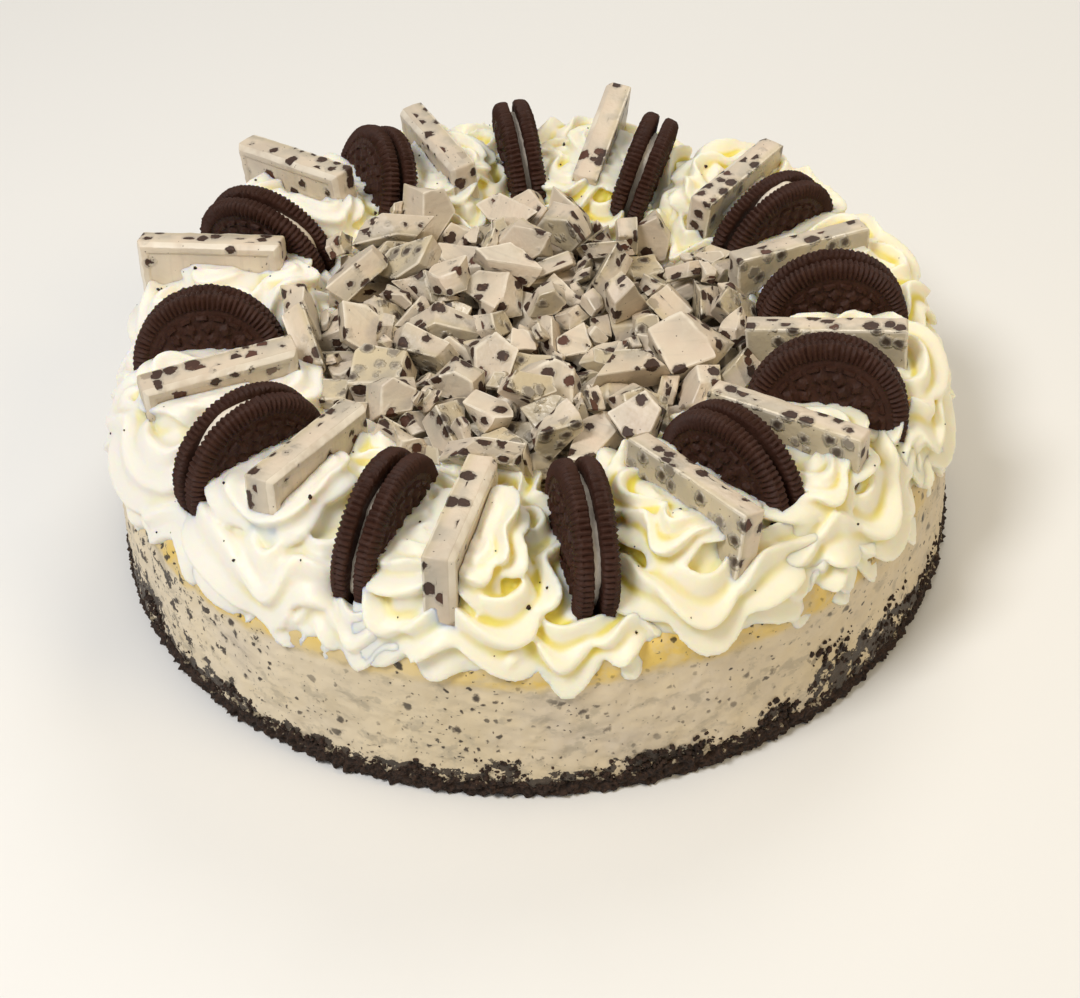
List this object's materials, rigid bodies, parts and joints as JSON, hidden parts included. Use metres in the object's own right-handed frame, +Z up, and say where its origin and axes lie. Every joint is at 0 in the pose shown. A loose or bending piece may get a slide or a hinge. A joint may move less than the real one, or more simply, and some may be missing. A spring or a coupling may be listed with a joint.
{
  "type": "baked cheesecake",
  "caption": "Whole round baked cheesecake on a dark crumb base, with a ring of piped cream, standing sandwich cookies and chocolate pieces, and a heap of broken chocolate in the middle.",
  "frame": {"origin": "middle of the cake's flat underside", "axes": "+Z up out of the cake, -Y towards the front, +X to the right"},
  "size_m": [0.254, 0.254, 0.0881],
  "materials": {
    "crumb": "coarse dry crumb",
    "baked_filling": "smooth baked filling with dark specks",
    "piped_cream": "soft satin cream",
    "broken_chocolate": "snapped white chocolate with dark bits",
    "white_chocolate": "moulded white chocolate with dark bits",
    "cookie_wafer": "dry embossed biscuit",
    "cookie_filling": "matt sugar filling"
  },
  "bodies": {
    "root": {"crumb_base": "crumb", "cheese_filling": "baked_filling", "whipped_cream": "piped_cream", "chocolate_heap": "broken_chocolate", "chocolate_piece_01": "white_chocolate", "chocolate_piece_02": "white_chocolate", "chocolate_piece_03": "white_chocolate", "chocolate_piece_04": "white_chocolate", "chocolate_piece_05": "white_chocolate", "chocolate_piece_06": "white_chocolate", "chocolate_piece_07": "white_chocolate", "chocolate_piece_08": "white_chocolate", "chocolate_piece_09": "white_chocolate", "chocolate_piece_10": "white_chocolate", "chocolate_piece_11": "white_chocolate", "chocolate_piece_12": "white_chocolate", "cookie_01_left_wafer": "cookie_wafer", "cookie_01_cream": "cookie_filling", "cookie_01_right_wafer": "cookie_wafer", "cookie_02_left_wafer": "cookie_wafer", "cookie_02_cream": "cookie_filling", "cookie_02_right_wafer": "cookie_wafer", "cookie_03_left_wafer": "cookie_wafer", "cookie_03_cream": "cookie_filling", "cookie_03_right_wafer": "cookie_wafer", "cookie_04_left_wafer": "cookie_wafer", "cookie_04_cream": "cookie_filling", "cookie_04_right_wafer": "cookie_wafer", "cookie_05_left_wafer": "cookie_wafer", "cookie_05_cream": "cookie_filling", "cookie_05_right_wafer": "cookie_wafer", "cookie_06_left_wafer": "cookie_wafer", "cookie_06_cream": "cookie_filling", "cookie_06_right_wafer": "cookie_wafer", "cookie_07_left_wafer": "cookie_wafer", "cookie_07_cream": "cookie_filling", "cookie_07_right_wafer": "cookie_wafer", "cookie_08_left_wafer": "cookie_wafer", "cookie_08_cream": "cookie_filling", "cookie_08_right_wafer": "cookie_wafer", "cookie_09_left_wafer": "cookie_wafer", "cookie_09_cream": "cookie_filling", "cookie_09_right_wafer": "cookie_wafer", "cookie_10_left_wafer": "cookie_wafer", "cookie_10_cream": "cookie_filling", "cookie_10_right_wafer": "cookie_wafer", "cookie_11_left_wafer": "cookie_wafer", "cookie_11_cream": "cookie_filling", "cookie_11_right_wafer": "cookie_wafer", "cookie_12_left_wafer": "cookie_wafer", "cookie_12_cream": "cookie_filling", "cookie_12_right_wafer": "cookie_wafer"}
  },
  "joints": []
}
